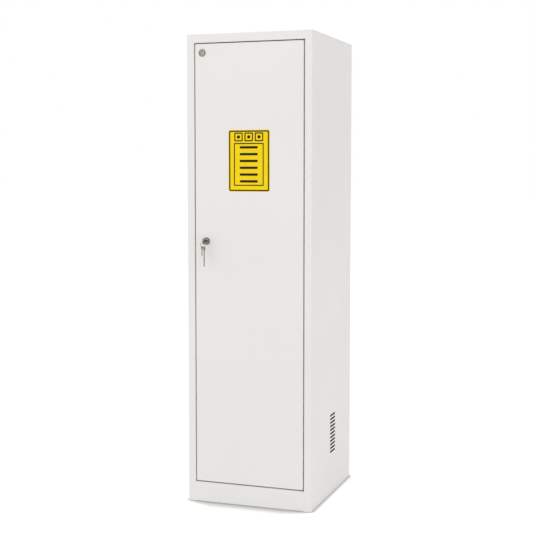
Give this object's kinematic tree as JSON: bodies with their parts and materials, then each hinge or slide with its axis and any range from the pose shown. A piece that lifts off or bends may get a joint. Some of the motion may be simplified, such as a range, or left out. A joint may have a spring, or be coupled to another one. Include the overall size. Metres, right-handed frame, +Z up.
{
  "type": "corrosives cabinet",
  "caption": "Tall narrow steel cabinet with one hinged door, keyed rod lock, vented sides, lift-out trays and a sump.",
  "frame": {"origin": "on the floor, under the middle of the whole outline with the key in its lock", "axes": "+Z up, the door faces -Y, +X towards the hinge side"},
  "size_m": [0.5, 0.5899, 1.8],
  "materials": {
    "grey_paint": "light grey powder coat, semi-matt",
    "zinc_plate": "bright zinc plate",
    "nickel_plate": "warm satin nickel plate",
    "black_nylon": "moulded black nylon",
    "black_rubber": "matt black rubber",
    "sump_polymer": "pale grey moulded polymer"
  },
  "bodies": {
    "cabinet": {"left_side_panel": "grey_paint", "right_side_panel": "grey_paint", "left_door_stop": "grey_paint", "right_door_stop": "grey_paint", "top_panel": "grey_paint", "back_panel": "grey_paint", "front_plinth": "grey_paint", "floor_panel": "grey_paint", "front_left_upright": "grey_paint", "front_right_upright": "grey_paint", "rear_left_upright": "grey_paint", "rear_right_upright": "grey_paint", "lower_left_hanger": "zinc_plate", "lower_right_hanger": "zinc_plate", "middle_left_hanger": "zinc_plate", "middle_right_hanger": "zinc_plate", "upper_left_hanger": "zinc_plate", "upper_right_hanger": "zinc_plate", "bottom_pivot_pin": "zinc_plate", "top_pivot_pin": "zinc_plate", "pivot_washer": "zinc_plate", "lower_door_bumper": "black_rubber", "upper_door_bumper": "black_rubber", "lock_keeper": "zinc_plate"},
    "door": {"door_skin": "grey_paint", "latch_side_stiffener": "grey_paint", "hinge_side_stiffener": "grey_paint", "bottom_pivot_bush": "black_nylon", "top_pivot_bush": "black_nylon", "lock_body": "nickel_plate", "lock_nut": "zinc_plate", "lock_case": "zinc_plate", "lock_case_cover": "zinc_plate", "lower_case_screw": "zinc_plate", "upper_case_screw": "zinc_plate", "top_rod_lower_guide": "black_nylon", "top_rod_upper_guide": "black_nylon", "bottom_rod_lower_guide": "black_nylon", "bottom_rod_upper_guide": "black_nylon", "upper_lock_body": "nickel_plate", "upper_lock_nut": "zinc_plate"},
    "lock_core": {"lock_plug": "nickel_plate", "drive_pinion": "zinc_plate", "lock_cam": "zinc_plate", "lock_cam_screw": "zinc_plate"},
    "top_rod": {"top_rod": "zinc_plate"},
    "bottom_rod": {"bottom_rod": "zinc_plate"},
    "upper_lock_core": {"upper_lock_plug": "nickel_plate", "upper_lock_cam": "zinc_plate", "upper_lock_screw": "zinc_plate"},
    "key": {"inserted_key": "nickel_plate"},
    "key_ring": {"key_ring": "nickel_plate"},
    "long_spare_key": {"long_spare_key": "nickel_plate"},
    "short_spare_key": {"short_spare_key": "nickel_plate"},
    "lower_tray": {"lower_tray": "grey_paint"},
    "middle_tray": {"middle_tray": "grey_paint"},
    "upper_tray": {"upper_tray": "grey_paint"},
    "sump_tray": {"sump_tray": "sump_polymer"}
  },
  "joints": [
    {"name": "door_swing", "type": "hinge", "parent": "cabinet", "child": "door", "pos_m": [0.2063, -0.248, 0.9225], "axis": [0, 0, 1], "range_deg": [0, 110]},
    {"name": "lock_turn", "type": "hinge", "parent": "door", "child": "lock_core", "pos_m": [-0.172, -0.255, 1.016], "axis": [0, -1, 0], "range_deg": [0, 90]},
    {"name": "top_rod_slide", "type": "slide", "parent": "door", "child": "top_rod", "axis": [0, 0, 1], "range_m": [0, 0.01885]},
    {"name": "bottom_rod_slide", "type": "slide", "parent": "door", "child": "bottom_rod", "axis": [0, 0, -1], "range_m": [0, 0.01885]},
    {"name": "upper_lock_turn", "type": "hinge", "parent": "door", "child": "upper_lock_core", "pos_m": [-0.187, -0.255, 1.73], "axis": [0, 1, 0], "range_deg": [0, 90]},
    {"name": "key_pull", "type": "slide", "parent": "lock_core", "child": "key", "axis": [0, -1, 0], "range_m": [0, 0.02]},
    {"name": "ring_swing", "type": "hinge", "parent": "key", "child": "key_ring", "pos_m": [-0.172, -0.286, 1.0129], "axis": [1, 0, 0], "range_deg": [-75, 6]},
    {"name": "long_key_swing", "type": "hinge", "parent": "key_ring", "child": "long_spare_key", "pos_m": [-0.169, -0.286, 0.99424], "axis": [1, 0, 0], "range_deg": [-60, 10]},
    {"name": "short_key_swing", "type": "hinge", "parent": "key_ring", "child": "short_spare_key", "pos_m": [-0.178, -0.286, 0.99373], "axis": [1, 0, 0], "range_deg": [-60, 10]},
    {"name": "lower_tray_lift", "type": "slide", "parent": "cabinet", "child": "lower_tray", "axis": [0, 0, 1], "range_m": [0, 0.025]},
    {"name": "middle_tray_lift", "type": "slide", "parent": "cabinet", "child": "middle_tray", "axis": [0, 0, 1], "range_m": [0, 0.025]},
    {"name": "upper_tray_lift", "type": "slide", "parent": "cabinet", "child": "upper_tray", "axis": [0, 0, 1], "range_m": [0, 0.025]},
    {"name": "sump_tray_lift", "type": "slide", "parent": "cabinet", "child": "sump_tray", "axis": [0, 0, 1], "range_m": [0, 0.025]}
  ],
  "couplings": [
    {"joint": "lock_turn", "follows": "top_rod_slide", "rad_per_m": 83.333},
    {"joint": "bottom_rod_slide", "follows": "top_rod_slide", "ratio": 1}
  ]
}
